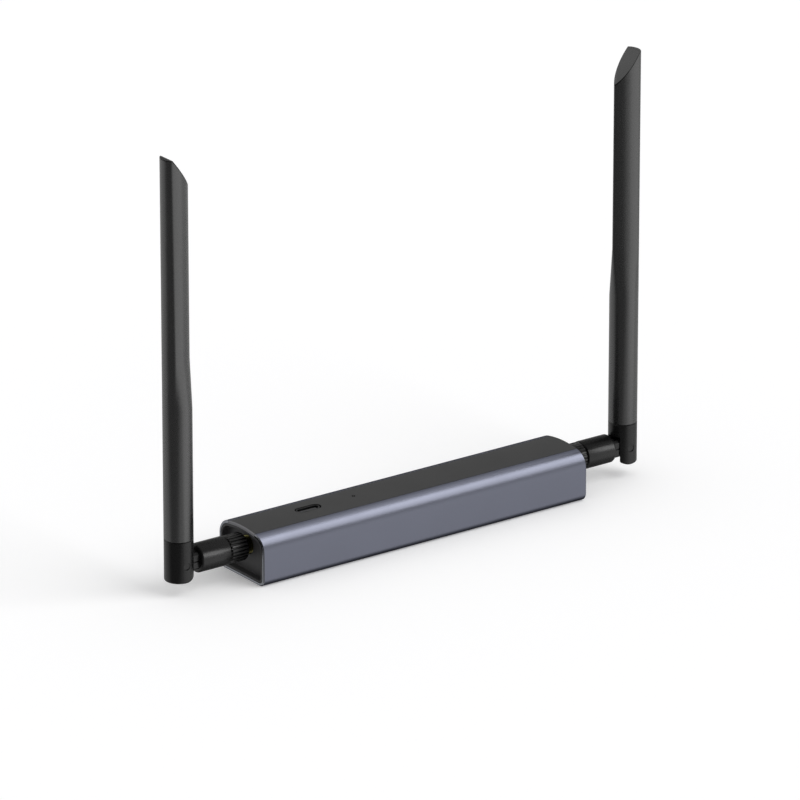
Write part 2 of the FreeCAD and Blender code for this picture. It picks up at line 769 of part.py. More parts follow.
def case_pieces():
    return {
        "sleeve": sleeve(),
        "top_cover": top_cover(),
        "main_board": main_board(),
        "usb_shell": usb_shell(),
        "usb_insert": usb_insert(),
        "status_led": status_led(),
        "light_pipe": light_pipe(),
        "wifi_module_board": module_board(wifi_x, wifi_length, wifi_width),
        "wifi_module_shield": module_shield(wifi_x, wifi_length, wifi_width),
        "zigbee_module_board": module_board(zigbee_x, zigbee_length, zigbee_width),
        "zigbee_module_shield": module_shield(zigbee_x, zigbee_length, zigbee_width),
        "usb_serial_chip": usb_serial_chip(),
        "voltage_regulator": voltage_regulator(),
    }


def end_pieces():
    """Pieces of one end, built on the right-hand side."""
    return {
        "end_cap": end_cap(),
        "jack_body": jack_body(),
        "jack_insulator": jack_insulator(),
        "jack_contact": jack_contact(),
        "plug_body": plug_body(),
        "plug_insulator": plug_insulator(),
        "plug_pin": plug_pin(),
        "coupling_nut": coupling_nut(),
        "elbow": elbow(),
        "hinge_base": hinge_base(),
        "blade": blade(),
        "feed_cable": feed_cable(),
        "radiator_tube": radiator_tube(),
        "radiator_whip": radiator_whip(),
    }


def main():
    os.makedirs("parts", exist_ok=True)
    pieces = case_pieces()
    for name, shape in end_pieces().items():
        pieces["right_" + name] = shape
        pieces["left_" + name] = half_turned(shape)
    for name, shape in pieces.items():
        shape.exportStep(os.path.join("parts", name + ".step"))
        box_size = shape.BoundBox
        print(name, "solids", len(shape.Solids), "valid", shape.isValid(), "mm3 %.1f" % shape.Volume,
              "size %.2f %.2f %.2f" % (box_size.XLength, box_size.YLength, box_size.ZLength))


main()
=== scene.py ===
"""Dressed model of the radio gateway: its finishes, its fine shapes, the camera and the light.

Metres, in the frame's own axes. X runs along the case, -Y is the front, +Z is up.
"""
import json
import math

import bmesh
import bpy
from mathutils import Matrix, Vector


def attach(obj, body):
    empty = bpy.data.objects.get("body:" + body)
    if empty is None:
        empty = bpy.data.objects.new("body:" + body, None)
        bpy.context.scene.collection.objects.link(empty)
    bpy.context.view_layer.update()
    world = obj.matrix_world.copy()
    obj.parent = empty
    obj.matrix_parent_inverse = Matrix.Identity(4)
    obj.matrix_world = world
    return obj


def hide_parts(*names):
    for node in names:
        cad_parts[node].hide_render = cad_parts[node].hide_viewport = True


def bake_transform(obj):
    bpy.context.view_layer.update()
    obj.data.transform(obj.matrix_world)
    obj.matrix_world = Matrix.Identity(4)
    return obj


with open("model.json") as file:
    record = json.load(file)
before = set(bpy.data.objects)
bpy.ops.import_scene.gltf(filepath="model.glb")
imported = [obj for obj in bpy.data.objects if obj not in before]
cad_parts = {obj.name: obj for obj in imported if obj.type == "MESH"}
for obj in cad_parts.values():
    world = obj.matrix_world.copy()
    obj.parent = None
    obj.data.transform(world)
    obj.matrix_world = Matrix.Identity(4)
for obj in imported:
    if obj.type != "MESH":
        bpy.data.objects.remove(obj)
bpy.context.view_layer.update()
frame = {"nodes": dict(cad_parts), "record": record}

MM = 0.001
SIDES = {"left": -1, "right": 1}

# Places and sizes that the fine shapes share with the frame
CONNECTOR_Z = 11.1 * MM
CASE_END_X = 67.4 * MM
RIM_CHAMFER = 0.3 * MM

# Knurled nut
NUT_RADIUS = 4.9 * MM
RIB_DEPTH = 0.45 * MM

# Jack's barrel
BOARD_END_X = 61.7 * MM
JACK_END_X = 72.5 * MM
MATING_X = 70.5 * MM
MOUTH_RADIUS = 2.3 * MM
BORE_RADIUS = 2.05 * MM
MOUTH_CHAMFER = 0.25 * MM
SPIN_STEPS = 48

# Jack's thread
THREAD_START_X = 63.35 * MM
THREAD_TURNS = 12
THREAD_STEPS = 32
THREAD_PITCH = 0.7056 * MM
THREAD_RADIUS = 3.175 * MM
THREAD_DEPTH = 0.42 * MM
THREAD_SINK = 0.05 * MM
THREAD_HALF_BASE = 0.46 * THREAD_PITCH
THREAD_HALF_CREST = 0.08 * THREAD_PITCH

# Jack's flange and its solder legs
FLANGE_HALF = 3.2 * MM
FLANGE_THICKNESS = 1.6 * MM
FLANGE_ROUND = 0.4 * MM
FLANGE_ROUND_STEPS = 4
LEG_WIDTH = 1.0 * MM
LEG_LENGTH = 4.5 * MM
BOARD_TOP_Z = 10.6 * MM
BOARD_THICKNESS = 1.6 * MM

# Contact pads on the tongue of the USB socket
USB_X = -40.1 * MM
TONGUE_TOP_Z = 17.7 * MM
TONGUE_HALF_THICKNESS = 0.35 * MM
PAD_COUNT = 12
PAD_PITCH = 0.5 * MM
PAD_WIDTH = 0.27 * MM
PAD_LENGTH = 2.2 * MM
PAD_FROM_TIP = 0.35 * MM
PAD_PROUD = 0.02 * MM

# Crowned top cover, status light and the blades' cut tips
CROWN_RADIUS = 44.0 * MM
CROWN_CENTRE_Z = -25.7 * MM
LIGHT_X = -21.3 * MM
LIGHT_RING_RADIUS = 0.30 * MM
TIP_TOP_Z = 153.5 * MM
TIP_FLAT_X = 95.9 * MM
TIP_CUT_ANGLE = math.radians(53.5)
TIP_SHADE_WIDTH = 0.34 * MM

# Rounding of the frame's sharp edges, by piece
EDGE_ROUNDS = {
    "sleeve": 0.12 * MM,
    "top_cover": 0.08 * MM,
    "end_cap": 0.22 * MM,
    "usb_shell": 0.06 * MM,
    "usb_insert": 0.06 * MM,
    "coupling_nut": 0.05 * MM,
    "elbow": 0.12 * MM,
    "hinge_base": 0.12 * MM,
    "blade": 0.08 * MM,
}
ANTENNA_KINDS = ("coupling_nut", "elbow", "hinge_base", "blade")
SHARP_ANGLE = math.radians(32.0)
PLANAR_ANGLE = math.radians(0.3)
MERGE_DISTANCE = 0.002 * MM

# Camera, fitted to the photograph
CAMERA_PLACE = Vector((-1.54418, -2.11607, 1.04056))
CAMERA_TARGET = Vector((-0.001965, -0.000045, 0.048465))
CAMERA_LENS = 374.95
CAMERA_SENSOR = 36.0
CAMERA_NEAR = 0.1
CAMERA_FAR = 50.0

# Lamps: direction, strength and width in degrees. The key lamp lights everything and shows in no
# reflection. The others light the sleeve or the antennas alone, and show on them.
KEY_LAMP = (Vector((0.44, -0.63, 0.64)), 1.45, 50.0)
SLEEVE_GLINT = (Vector((0.551, -0.393, 0.736)), 1.75, 46.0)
SLEEVE_SHEEN = (Vector((0.551, 0.12, 0.83)), 1.0, 60.0)
ANTENNA_GLINT = (Vector((0.551, -0.744, 0.377)), 1.10, 27.0)

# Studio: level of its soft light and of its white in reflections
AMBIENT = 0.62
GLOSS_LEVEL = 0.8

# Cards round the studio, which only reflections see: direction, where it starts and is full, tone
CARDS = [
    (Vector((-0.91, -0.42, -0.05)), 0.50, 0.80, 0.12),
    (Vector((-0.35, -0.60, 0.72)), 0.72, 0.88, 0.0),
    (Vector((0.52, -0.82, -0.25)), 0.82, 0.96, 2.05),
    (Vector((-0.50, 0.76, 0.42)), 0.85, 0.97, 1.6),
    (Vector((0.55, 0.80, 0.35)), 0.70, 0.95, 0.45),
    (Vector((0.0, 0.0, 1.0)), 0.10, 0.70, 0.6),
    (Vector((0.30, 0.35, -0.89)), 0.45, 1.0, 0.05),
]

# Floor: its glow to the camera, and how much of it reflections see
FLOOR_SIZE = 12.0
FLOOR_COLOUR = (0.93, 0.93, 0.935)
FLOOR_ROUGHNESS = 0.9
FLOOR_LIFT = 0.155
FLOOR_GLOSS_SHARE = 0.12
WHITE = (1.0, 1.0, 1.0, 1.0)


def feed(tree, target, value):
    """Links a socket to the target, or sets the target to a plain value."""
    if isinstance(value, bpy.types.NodeSocket):
        tree.links.new(value, target)
    else:
        target.default_value = value


def node_math(tree, operation, first, second=0.0):
    """Result of a math node whose inputs are sockets or numbers."""
    node = tree.nodes.new("ShaderNodeMath")
    node.operation = operation
    feed(tree, node.inputs[0], first)
    feed(tree, node.inputs[1], second)
    return node.outputs["Value"]


def node_mix(tree, factor, first, second, kind="FLOAT"):
    """Value between first and second, each a socket or a plain value."""
    node = tree.nodes.new("ShaderNodeMix")
    node.data_type = kind
    feed(tree, node.inputs["Factor"], factor)
    feed(tree, node.inputs["A"], first)
    feed(tree, node.inputs["B"], second)
    return node.outputs["Result"]


def node_range(tree, value, low, high, to_low, to_high, interpolation="LINEAR"):
    """Stretches low to high over to_low to to_high, and holds the ends beyond."""
    node = tree.nodes.new("ShaderNodeMapRange")
    node.interpolation_type = interpolation
    tree.links.new(value, node.inputs["Value"])
    node.inputs["From Min"].default_value = low
    node.inputs["From Max"].default_value = high
    node.inputs["To Min"].default_value = to_low
    node.inputs["To Max"].default_value = to_high
    return node.outputs["Result"]


def grey(level):
    return (level, level, level)


class Finish:
    """A material under way: its shader, and the nodes that vary it over the surface."""

    def __init__(self, name, colour, roughness, metallic=0.0, specular=0.5):
        self.material = bpy.data.materials.new(name)
        self.material.use_nodes = True
        self.tree = self.material.node_tree
        self.shader = self.tree.nodes["Principled BSDF"]
        self.place = self.tree.nodes.new("ShaderNodeTexCoord").outputs["Object"]
        self.set("Base Color", (*colour, 1.0))
        self.set("Roughness", roughness)
        self.set("Metallic", metallic)
        self.set("Specular IOR Level", specular)

    def set(self, label, value):
        """Sets an input of the shader to a plain value."""
        self.shader.inputs[label].default_value = value

    def drive(self, label, socket):
        """Links an input of the shader to a socket."""
        self.tree.links.new(socket, self.shader.inputs[label])

    def noise(self, scale, detail=2.0, stretch=(1.0, 1.0, 1.0)):
        """Fine mottle; scale is in features per metre along the unstretched axes."""
        mapping = self.tree.nodes.new("ShaderNodeMapping")
        mapping.inputs["Scale"].default_value = stretch
        self.tree.links.new(self.place, mapping.inputs["Vector"])
        texture = self.tree.nodes.new("ShaderNodeTexNoise")
        texture.inputs["Scale"].default_value = scale
        texture.inputs["Detail"].default_value = detail
        self.tree.links.new(mapping.outputs["Vector"], texture.inputs["Vector"])
        return texture.outputs["Fac"]

    def math(self, operation, first, second=0.0):
        return node_math(self.tree, operation, first, second)

    def remap(self, value, low, high, to_low=0.0, to_high=1.0):
        return node_range(self.tree, value, low, high, to_low, to_high)

    def blend(self, factor, first, second):
        """Colour between first and second, each a colour or a socket."""
        ends = [end if isinstance(end, bpy.types.NodeSocket) else (*end, 1.0) for end in (first, second)]
        return node_mix(self.tree, factor, *ends, kind="RGBA")

    def along(self, axis):
        """Coordinate of the surface along X, Y or Z."""
        split = self.tree.nodes.new("ShaderNodeSeparateXYZ")
        self.tree.links.new(self.place, split.inputs["Vector"])
        return split.outputs[axis]

    def distance(self, first, second):
        """Distance over two coordinates at right angles."""
        squares = [self.math("MULTIPLY", value, value) for value in (first, second)]
        return self.math("SQRT", self.math("ADD", *squares))

    def from_connector_axis(self):
        """Distance from the axis of the coaxial connectors."""
        return self.distance(self.along("Y"), self.math("SUBTRACT", self.along("Z"), CONNECTOR_Z))

    def case_ends(self):
        """1 on the cut edges at the case's two ends, 0 elsewhere."""
        cut_x = CASE_END_X - RIM_CHAMFER
        return self.remap(self.math("ABSOLUTE", self.along("X")), cut_x - 0.03 * MM, cut_x)

    def tip_shade_band(self):
        """1 on the blade's wall just below its cut and its flat tip, where dark edge shade is painted, 0
        elsewhere.
        """
        below_top = self.math("SUBTRACT", TIP_TOP_Z, self.along("Z"))
        inwards = self.math("SUBTRACT", TIP_FLAT_X, self.math("ABSOLUTE", self.along("X")))
        below_cut = self.math("SUBTRACT", self.math("MULTIPLY", below_top, math.cos(TIP_CUT_ANGLE)),
                              self.math("MULTIPLY", inwards, math.sin(TIP_CUT_ANGLE)))
        depth = self.math("MINIMUM", below_top, below_cut)
        begins = self.remap(depth, 0.02 * MM, 0.06 * MM)
        lasts = self.remap(depth, TIP_SHADE_WIDTH - 0.08 * MM, TIP_SHADE_WIDTH, 1.0, 0.0)
        return self.math("MULTIPLY", begins, lasts)

    def inside_cover(self):
        """1 on the cover's hole walls and underside, where shade is painted, 0 on its crowned top."""
        radius = self.distance(self.along("Y"), self.math("SUBTRACT", self.along("Z"), CROWN_CENTRE_Z))
        return self.remap(radius, CROWN_RADIUS - 0.30 * MM, CROWN_RADIUS - 0.06 * MM, 1.0, 0.0)

    def relief(self, layers):
        """Bumps on the surface; each layer is (height socket, depth in metres)."""
        normal = None
        for height, depth in layers:
            bump = self.tree.nodes.new("ShaderNodeBump")
            bump.inputs["Strength"].default_value = 1.0
            bump.inputs["Distance"].default_value = depth
            self.tree.links.new(height, bump.inputs["Height"])
            if normal:
                self.tree.links.new(normal, bump.inputs["Normal"])
            normal = bump.outputs["Normal"]
        self.drive("Normal", normal)


def anodised_aluminium():
    """Bead-blasted space grey, with the chamfered ends cut bright."""
    finish = Finish("anodised_aluminium", (0.108, 0.113, 0.142), 0.36, metallic=1.0)
    finish.set("Specular Tint", (0.3, 0.3, 0.32, 1.0))
    drift = finish.noise(55.0, detail=3.0)
    grain = finish.noise(9000.0, detail=1.0)
    draw = finish.noise(900.0, detail=2.0, stretch=(0.02, 1.0, 1.0))
    toned = finish.blend(drift, (0.102, 0.107, 0.135), (0.115, 0.121, 0.150))
    speckled = finish.blend(finish.remap(grain, 0.35, 0.65, 0.0, 0.25), toned, (0.14, 0.145, 0.175))
    end = finish.case_ends()
    finish.drive("Base Color", finish.blend(end, speckled, (0.25, 0.26, 0.28)))
    rough = finish.remap(drift, 0.3, 0.7, 0.33, 0.39)
    finish.drive("Roughness", finish.math("SUBTRACT", rough, finish.math("MULTIPLY", end, 0.10)))
    finish.relief([(grain, 0.004 * MM), (draw, 0.002 * MM)])
    return finish.material


def moulded_plastic(name, colour, roughness, grain_size, grain_depth, specular=0.5):
    """Spark-eroded texture with a slow drift in tone and gloss; grain_size is in metres."""
    finish = Finish(name, colour, roughness, specular=specular)
    drift = finish.noise(70.0)
    grain = finish.noise(1.0 / grain_size)
    darker = tuple(channel * 0.85 for channel in colour)
    lighter = tuple(channel * 1.2 for channel in colour)
    toned = finish.blend(drift, darker, lighter)
    finish.drive("Base Color", finish.blend(finish.remap(grain, 0.4, 0.7, 0.0, 0.35), toned, lighter))
    finish.drive("Roughness", finish.remap(grain, 0.3, 0.7, roughness - 0.05, roughness + 0.06))
    finish.relief([(grain, grain_depth)])
    return finish.material


def cover_plastic():
    """Matt dark strip with a painted highlight on its broken end edges, and painted shade on its hole
    walls.
    """
    finish = Finish("cover_plastic", grey(0.051), 0.62, specular=0.3)
    drift = finish.noise(70.0)
    grain = finish.noise(1.0 / (0.28 * MM))
    toned = finish.blend(drift, grey(0.047), grey(0.058))
    speckled = finish.blend(finish.remap(grain, 0.4, 0.7, 0.0, 0.35), toned, grey(0.062))
    # painted shade on the hole walls and underside
    shaded = finish.blend(finish.inside_cover(), speckled, grey(0.018))
    # painted highlight on the end edges
    finish.drive("Base Color", finish.blend(finish.case_ends(), shaded, (0.20, 0.20, 0.21)))
    finish.drive("Roughness", finish.remap(grain, 0.3, 0.7, 0.57, 0.68))
    finish.relief([(grain, 0.010 * MM)])
    return finish.material


def cap_plastic():
    return moulded_plastic("cap_plastic", (0.045, 0.045, 0.046), 0.50, 0.22 * MM, 0.006 * MM, 0.25)


def antenna_plastic():
    return moulded_plastic("antenna_plastic", grey(0.004), 0.28, 0.20 * MM, 0.003 * MM, 0.27)


def blade_plastic():
    """Satin black with faint flow lines along the blade, and painted dark edge shade round its cut tip."""
    finish = Finish("blade_plastic", grey(0.009), 0.29, specular=0.8)
    flow = finish.noise(700.0, detail=2.0, stretch=(1.0, 1.0, 0.03))
    grain = finish.noise(5200.0, detail=1.5)
    # painted shade: a dark, less glossy band round the cut tip
    line = finish.tip_shade_band()
    toned = finish.blend(flow, grey(0.008), grey(0.011))
    finish.drive("Base Color", finish.blend(line, toned, grey(0.003)))
    finish.drive("Specular IOR Level", finish.remap(line, 0.0, 1.0, 0.8, 0.15))
    finish.drive("Roughness", finish.remap(grain, 0.3, 0.7, 0.24, 0.30))
    finish.relief([(grain, 0.004 * MM), (flow, 0.003 * MM)])
    return finish.material


def nut_metal():
    """Black plating rubbed brighter in spots on the crests of the ribs, with painted shade on the flanks
    and roots below them.
    """
    finish = Finish("nut_metal", grey(0.006), 0.34, specular=0.32)
    grain = finish.noise(4200.0)
    crest = finish.remap(finish.from_connector_axis(), NUT_RADIUS - 0.5 * RIB_DEPTH, NUT_RADIUS)
    rubbed = finish.math("MULTIPLY", crest, finish.remap(grain, 0.35, 0.65))
    # crests lighter where rubbed; flanks and roots painted dark as shade in the grooves
    finish.drive("Base Color", finish.blend(rubbed, grey(0.001), grey(0.022)))
    finish.drive("Roughness", finish.remap(grain, 0.3, 0.7, 0.33, 0.43))
    finish.relief([(grain, 0.004 * MM)])
    return finish.material


def gold_plating():
    """Gold over brass, with painted shade in the roots of the thread."""
    finish = Finish("gold_plating", (0.20, 0.18, 0.06), 0.36, metallic=1.0)
    tarnish = finish.noise(1400.0, detail=3.0)
    crest = finish.remap(finish.from_connector_axis(), THREAD_RADIUS - THREAD_DEPTH, THREAD_RADIUS)
    # painted shade: the thread's roots darker than its crests
    shaded_roots = finish.blend(tarnish, (0.05, 0.045, 0.013), (0.09, 0.08, 0.024))
    finish.drive("Base Color", finish.blend(crest, shaded_roots, (0.17, 0.155, 0.055)))
    finish.drive("Roughness", finish.remap(tarnish, 0.3, 0.7, 0.28, 0.42))
    finish.relief([(tarnish, 0.002 * MM)])
    return finish.material


def white_insulator():
    return moulded_plastic("white_insulator", (0.72, 0.72, 0.70), 0.38, 0.15 * MM, 0.002 * MM)


def sheet_metal(name, colour, roughness, stretch):
    """Rolled sheet with fine lines across the unstretched axes."""
    finish = Finish(name, colour, roughness, metallic=1.0)
    lines = finish.noise(3500.0, detail=3.0, stretch=stretch)
    stain = finish.noise(160.0)
    darker = tuple(channel * 0.85 for channel in colour)
    finish.drive("Base Color", finish.blend(stain, darker, colour))
    finish.drive("Roughness", finish.remap(lines, 0.3, 0.7, roughness - 0.06, roughness + 0.08))
    finish.relief([(lines, 0.002 * MM)])
    return finish.material


def shield_steel():
    return sheet_metal("shield_steel", (0.60, 0.60, 0.58), 0.34, (0.05, 1.0, 1.0))


def radiator_brass():
    return sheet_metal("radiator_brass", (0.68, 0.46, 0.19), 0.35, (1.0, 1.0, 0.05))


def socket_steel():
    """Blackened shell, with painted light on its front side and painted shade on its back half."""
    finish = Finish("socket_steel", grey(0.03), 0.40, metallic=1.0)
    lines = finish.noise(3500.0, detail=3.0, stretch=(1.0, 1.0, 0.05))
    # painted light on the front side and painted shade on the back half of the shell
    front = finish.remap(finish.along("Y"), -0.9 * MM, 0.3 * MM, 1.0, 0.0)
    dark = finish.blend(lines, (0.085, 0.085, 0.087), (0.11, 0.11, 0.112))
    finish.drive("Base Color", finish.blend(front, dark, (0.20, 0.20, 0.205)))
    finish.drive("Roughness", finish.remap(lines, 0.3, 0.7, 0.36, 0.46))
    finish.relief([(lines, 0.002 * MM)])
    return finish.material


def socket_plastic():
    return moulded_plastic("socket_plastic", (0.056, 0.056, 0.058), 0.45, 0.12 * MM, 0.003 * MM)


def solder_mask(name, mask, copper):
    """Board lacquer over a maze of copper tracks, whose raised lines show through it."""
    finish = Finish(name, mask, 0.30)
    tracks = finish.tree.nodes.new("ShaderNodeTexBrick")
    tracks.inputs["Scale"].default_value = 420.0
    tracks.inputs["Mortar Size"].default_value = 0.09
    tracks.inputs["Color1"].default_value = (*mask, 1.0)
    tracks.inputs["Color2"].default_value = (*(channel * 0.7 for channel in mask), 1.0)
    tracks.inputs["Mortar"].default_value = (*copper, 1.0)
    finish.tree.links.new(finish.place, tracks.inputs["Vector"])
    finish.drive("Base Color", tracks.outputs["Color"])
    lacquer = finish.noise(900.0)
    finish.drive("Roughness", finish.remap(lacquer, 0.3, 0.7, 0.26, 0.38))
    finish.relief([(tracks.outputs["Fac"], 0.02 * MM)])
    return finish.material


def main_board_lacquer():
    return solder_mask("main_board_lacquer", (0.010, 0.055, 0.022), (0.022, 0.090, 0.036))


def module_board_lacquer():
    return solder_mask("module_board_lacquer", (0.010, 0.016, 0.030), (0.022, 0.034, 0.060))


def led_resin():
    return moulded_plastic("led_resin", (0.75, 0.73, 0.62), 0.25, 0.2 * MM, 0.002 * MM)


def smoked_light_pipe():
    """Smoked clear plastic, frosted in the middle, with painted shade towards its wall, while its lamp is
    off.
    """
    finish = Finish("smoked_light_pipe", grey(0.05), 0.50, specular=0.3)
    radius = finish.distance(finish.math("SUBTRACT", finish.along("X"), LIGHT_X), finish.along("Y"))
    # painted shade: dark, unreflecting band towards the pipe's wall
    rim_shade = finish.remap(radius, LIGHT_RING_RADIUS - 0.06 * MM, LIGHT_RING_RADIUS)
    finish.drive("Specular IOR Level", finish.remap(rim_shade, 0.0, 1.0, 0.3, 0.0))
    haze = finish.noise(2600.0)
    frosted = finish.blend(haze, grey(0.046), grey(0.060))
    finish.drive("Base Color", finish.blend(rim_shade, frosted, grey(0.001)))
    finish.drive("Roughness", finish.remap(haze, 0.3, 0.7, 0.42, 0.55))
    return finish.material


def chip_epoxy():
    return moulded_plastic("chip_epoxy", (0.016, 0.016, 0.018), 0.55, 0.10 * MM, 0.006 * MM)


def cable_jacket():
    return moulded_plastic("cable_jacket", grey(0.014), 0.40, 0.5 * MM, 0.006 * MM)


FINISHES = {
    "sleeve_aluminium": anodised_aluminium(),
    "cover_plastic": cover_plastic(),
    "cap_plastic": cap_plastic(),
    "circuit_board": main_board_lacquer(),
    "module_board": module_board_lacquer(),
    "shield_steel": shield_steel(),
    "socket_steel": socket_steel(),
    "socket_plastic": socket_plastic(),
    "led_body": led_resin(),
    "clear_plastic": smoked_light_pipe(),
    "chip_plastic": chip_epoxy(),
    "gold_brass": gold_plating(),
    "white_insulator": white_insulator(),
    "nut_metal": nut_metal(),
    "antenna_plastic": antenna_plastic(),
    "blade_plastic": blade_plastic(),
    "cable_jacket": cable_jacket(),
    "radiator_brass": radiator_brass(),
}
NODE_SLOTS = {entry["node"]: entry["material_slot"] for entry in frame["record"]["subparts"]}
BODY_NODES = frame["record"]["behaviour"]["bodies"]
NODE_BODIES = {node: body for body, nodes in BODY_NODES.items() for node in nodes}


def piece_kind(node):
    """Name of the piece without its side."""
    for side in SIDES:
        if node.startswith(side + "_"):
            return node[len(side) + 1:]
    return node


def dress_frame_nodes():
    for node, shown in frame["nodes"].items():
        shown.data.materials.clear()
        shown.data.materials.append(FINISHES[NODE_SLOTS[node]])


def finished_piece(name, shape, body, slot):
    """Object from a bmesh, riding on its body if it has one, with smooth faces between its sharp edges."""
    mesh = bpy.data.meshes.new(name)
    shape.to_mesh(mesh)
    shape.free()
    mesh.shade_smooth()
    mesh.set_sharp_from_angle(angle=SHARP_ANGLE)
    piece = bpy.data.objects.new(name, mesh)
    bpy.context.scene.collection.objects.link(piece)
    mesh.materials.append(FINISHES[slot])
    if body:
        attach(piece, body)
    return piece


def round_edges(piece, width):
    rounding = piece.modifiers.new("edge_rounding", "BEVEL")
    rounding.width = width
    rounding.segments = 2
    rounding.limit_method = "ANGLE"
    rounding.angle_limit = SHARP_ANGLE
    rounding.harden_normals = True


def merged_copy(node):
    """Bmesh of a frame node with its doubled points merged."""
    shape = bmesh.new()
    shape.from_mesh(frame["nodes"][node].data)
    bmesh.ops.remove_doubles(shape, verts=shape.verts, dist=MERGE_DISTANCE)
    return shape


def softened_node(node):
    """Copy of a frame node, merged and with its sharp edges rounded, in place of the node."""
    shape = merged_copy(node)
    bmesh.ops.dissolve_limit(shape, angle_limit=PLANAR_ANGLE, verts=shape.verts, edges=shape.edges,
                             use_dissolve_boundaries=False)
    piece = finished_piece(node + "_softened", shape, NODE_BODIES[node], NODE_SLOTS[node])
    round_edges(piece, EDGE_ROUNDS[piece_kind(node)])
    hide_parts(node)
    return piece


def bending_cable(side):
    """Merged copy of the feed cable, with its placement baked in, in place of the frame's node."""
    node = side + "_feed_cable"
    piece = finished_piece(side + "_bending_cable", merged_copy(node), None, NODE_SLOTS[node])
    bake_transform(piece)
    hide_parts(node)


def add_box(shape, x0, x1, y0, y1, z0, z1):
    """Adds a box to a bmesh and returns its vertices."""
    size = Matrix.Diagonal((x1 - x0, y1 - y0, z1 - z0, 1.0))
    middle = Matrix.Translation(((x0 + x1) / 2, (y0 + y1) / 2, (z0 + z1) / 2))
    return bmesh.ops.create_cube(shape, size=1.0, matrix=middle @ size)["verts"]


def add_outline(shape, points):
    """Vertices of a bmesh at (x, radius) points above the connector axis."""
    return [shape.verts.new((x, 0.0, CONNECTOR_Z + radius)) for x, radius in points]


def spin_about_connector(shape, parts, turns, steps, advance=0.0, use_merge=False):
    """Spins edges or faces about the connector axis, moving along it by advance at each step."""
    bmesh.ops.spin(shape, geom=parts, cent=(0.0, 0.0, CONNECTOR_Z), axis=(1.0, 0.0, 0.0),
                   dvec=(advance, 0.0, 0.0), angle=2 * math.pi * turns, steps=steps, use_merge=use_merge)


def add_jack_barrel(shape):
    """Hollow barrel at the thread's root radius, with a wider mouth."""
    root = THREAD_RADIUS - THREAD_DEPTH
    verts = add_outline(shape, [
        (BOARD_END_X, BORE_RADIUS),
        (BOARD_END_X, root),
        (JACK_END_X - MOUTH_CHAMFER, root),
        (JACK_END_X, root - MOUTH_CHAMFER),
        (JACK_END_X, MOUTH_RADIUS),
        (MATING_X, MOUTH_RADIUS),
        (MATING_X, BORE_RADIUS),
    ])
    edges = [shape.edges.new(pair) for pair in zip(verts, verts[1:] + verts[:1])]
    spin_about_connector(shape, edges, turns=1, steps=SPIN_STEPS, use_merge=True)


def add_thread_ridge(shape):
    """Closed helical ridge with a V section, sunk a little into the barrel."""
    root = THREAD_RADIUS - THREAD_DEPTH - THREAD_SINK
    section = shape.faces.new(add_outline(shape, [
        (THREAD_START_X - THREAD_HALF_BASE, root),
        (THREAD_START_X + THREAD_HALF_BASE, root),
        (THREAD_START_X + THREAD_HALF_CREST, THREAD_RADIUS),
        (THREAD_START_X - THREAD_HALF_CREST, THREAD_RADIUS),
    ]))
    spin_about_connector(shape, [section], turns=THREAD_TURNS, steps=THREAD_STEPS * THREAD_TURNS,
                         advance=THREAD_PITCH / THREAD_STEPS)


def add_jack_flange(shape):
    """Square flange against the board's end, with rounded corners."""
    verts = add_box(shape, BOARD_END_X, BOARD_END_X + FLANGE_THICKNESS, -FLANGE_HALF, FLANGE_HALF,
                    CONNECTOR_Z - FLANGE_HALF, CONNECTOR_Z + FLANGE_HALF)
    corners = [edge for vert in verts for edge in vert.link_edges
               if abs(edge.verts[0].co.x - edge.verts[1].co.x) > FLANGE_THICKNESS / 2]
    bmesh.ops.bevel(shape, geom=list(dict.fromkeys(corners)), offset=FLANGE_ROUND,
                    segments=FLANGE_ROUND_STEPS, profile=0.5, affect="EDGES", material=-1)


def add_solder_legs(shape):
    """Legs on and under the board, at both edges of the flange."""
    leg_x = BOARD_END_X - LEG_LENGTH
    under = BOARD_TOP_Z - BOARD_THICKNESS
    inner = FLANGE_HALF - LEG_WIDTH
    for y0, y1 in ((-FLANGE_HALF, -inner), (inner, FLANGE_HALF)):
        add_box(shape, leg_x, BOARD_END_X, y0, y1, BOARD_TOP_Z, BOARD_TOP_Z + LEG_WIDTH)
        add_box(shape, leg_x, BOARD_END_X, y0, y1, under - LEG_WIDTH, under)


def threaded_jack(side):
    """Jack body with its cut thread, square flange and solder legs, in place of the plain one."""
    shape = bmesh.new()
    add_jack_barrel(shape)
    add_thread_ridge(shape)
    add_jack_flange(shape)
    add_solder_legs(shape)
    if SIDES[side] < 0:
        half_turn = Matrix.Rotation(math.pi, 3, "Z")
        bmesh.ops.rotate(shape, cent=(0.0, 0.0, 0.0), verts=shape.verts, matrix=half_turn)
    bmesh.ops.recalc_face_normals(shape, faces=shape.faces)
    piece = finished_piece(side + "_threaded_jack", shape, "case", "gold_brass")
    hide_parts(side + "_jack_body")


def usb_contact_pads():
    """Gold pads on both faces of the socket's tongue."""
    shape = bmesh.new()
    top = TONGUE_TOP_Z - PAD_FROM_TIP
    inner = TONGUE_HALF_THICKNESS - PAD_PROUD
    outer = TONGUE_HALF_THICKNESS + PAD_PROUD
    for index in range(PAD_COUNT):
        x = USB_X + (index - (PAD_COUNT - 1) / 2) * PAD_PITCH
        for y0, y1 in ((-outer, -inner), (inner, outer)):
            add_box(shape, x - PAD_WIDTH / 2, x + PAD_WIDTH / 2, y0, y1, top - PAD_LENGTH, top)
    finished_piece("usb_contact_pads", shape, "case", "gold_brass")


def ray_is(tree, *kinds):
    """1 for a ray of one of these kinds, 0 for any other."""
    path = tree.nodes.new("ShaderNodeLightPath")
    found = path.outputs[kinds[0]]
    for kind in kinds[1:]:
        found = node_math(tree, "MAXIMUM", found, path.outputs[kind])
    return found


